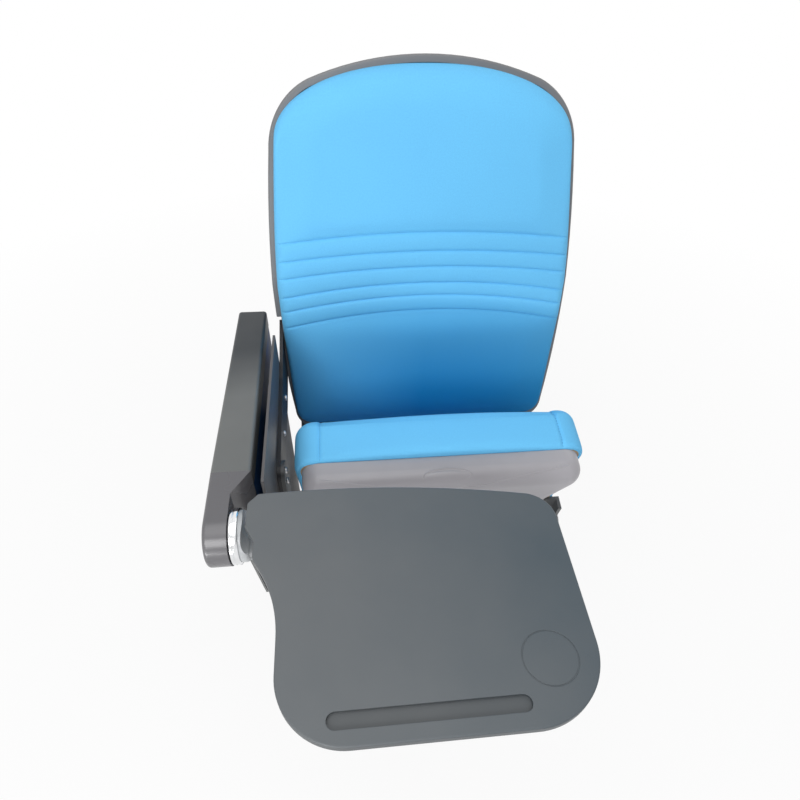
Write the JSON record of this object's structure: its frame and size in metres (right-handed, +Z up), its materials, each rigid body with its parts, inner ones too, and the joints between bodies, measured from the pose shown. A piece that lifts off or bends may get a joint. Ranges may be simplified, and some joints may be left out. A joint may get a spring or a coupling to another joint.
{
  "type": "tablet arm chair",
  "caption": "Tip-up lecture seat with a padded blue back and seat, and an armrest whose hinged writing tablet swings and folds.",
  "frame": {"origin": "on the floor, in the middle of the four floor bolts", "axes": "+Z up, the sitter faces -Y, +X to the right as seen from the front; the tablet arm is at -X"},
  "size_m": [0.644, 0.8386, 1.0065],
  "materials": {
    "frame_paint": "satin powder coat",
    "bracket_black": "black powder coat",
    "bright_steel": "zinc plated",
    "weight_paint": "plain paint",
    "nylon": "moulded",
    "shell_grey": "fine grain",
    "pan_grey": "satin",
    "plywood": "raw",
    "blue_cloth": "plain weave",
    "arm_grey": "fine grain",
    "pocket_dark": "smooth",
    "wall_grey": "fine grain",
    "chrome": "polished",
    "knuckle_grey": "satin",
    "tablet_grey": "fine grain"
  },
  "bodies": {
    "frame": {"arm_post": "frame_paint", "arm_upright": "frame_paint", "armrest_nose": "arm_grey", "armrest_pad": "arm_grey", "back_board": "plywood", "back_bracket": "bracket_black", "back_cushion": "blue_cloth", "back_flange_left": "frame_paint", "back_flange_right": "frame_paint", "back_flange_screws": "bright_steel", "back_shell": "shell_grey", "bracket_screws": "bright_steel", "cross_tube": "frame_paint", "foot_plate_left": "frame_paint", "foot_plate_right": "frame_paint", "pivot_pin_left": "bright_steel", "pivot_pin_right": "bright_steel", "pivot_spacer_left": "nylon", "pivot_spacer_right": "nylon", "pocket_floor": "pocket_dark", "pocket_liner": "pocket_dark", "pocket_rear_strip": "pocket_dark", "post_cap_left": "nylon", "post_cap_right": "nylon", "post_left": "frame_paint", "post_right": "frame_paint", "side_panel_inner": "wall_grey", "side_panel_outer": "arm_grey", "side_plate_left": "frame_paint", "side_plate_right": "frame_paint", "stop_peg_left": "bright_steel", "stop_peg_right": "bright_steel", "swing_bush": "nylon"},
    "seat": {"seat_pan": "pan_grey", "seat_board": "plywood", "seat_cushion": "blue_cloth", "seat_hinge_left": "frame_paint", "seat_hinge_right": "frame_paint", "seat_bush_left": "nylon", "seat_bush_right": "nylon", "counterweight": "weight_paint", "weight_screws": "bright_steel", "seat_hinge_screws": "bright_steel", "pan_screws": "bright_steel"},
    "hinge_head": {"swing_drum": "chrome", "knuckle": "knuckle_grey", "swing_pin": "bright_steel", "fold_pin": "bright_steel"},
    "tablet": {"tablet_top": "tablet_grey", "tablet_bracket": "frame_paint", "tablet_screws": "bright_steel"}
  },
  "joints": [
    {"name": "seat_tip", "type": "hinge", "parent": "frame", "child": "seat", "pos_m": [0, -0.128, 0.338], "axis": [1, 0, 0], "range_deg": [0, 78]},
    {"name": "tablet_swing", "type": "hinge", "parent": "frame", "child": "hinge_head", "pos_m": [-0.288, -0.31, 0.61], "axis": [-1, 0, 0], "range_deg": [0, 90]},
    {"name": "tablet_fold", "type": "hinge", "parent": "hinge_head", "child": "tablet", "pos_m": [-0.251, -0.31, 0.632], "axis": [0, -1, 0], "range_deg": [0, 90]}
  ]
}
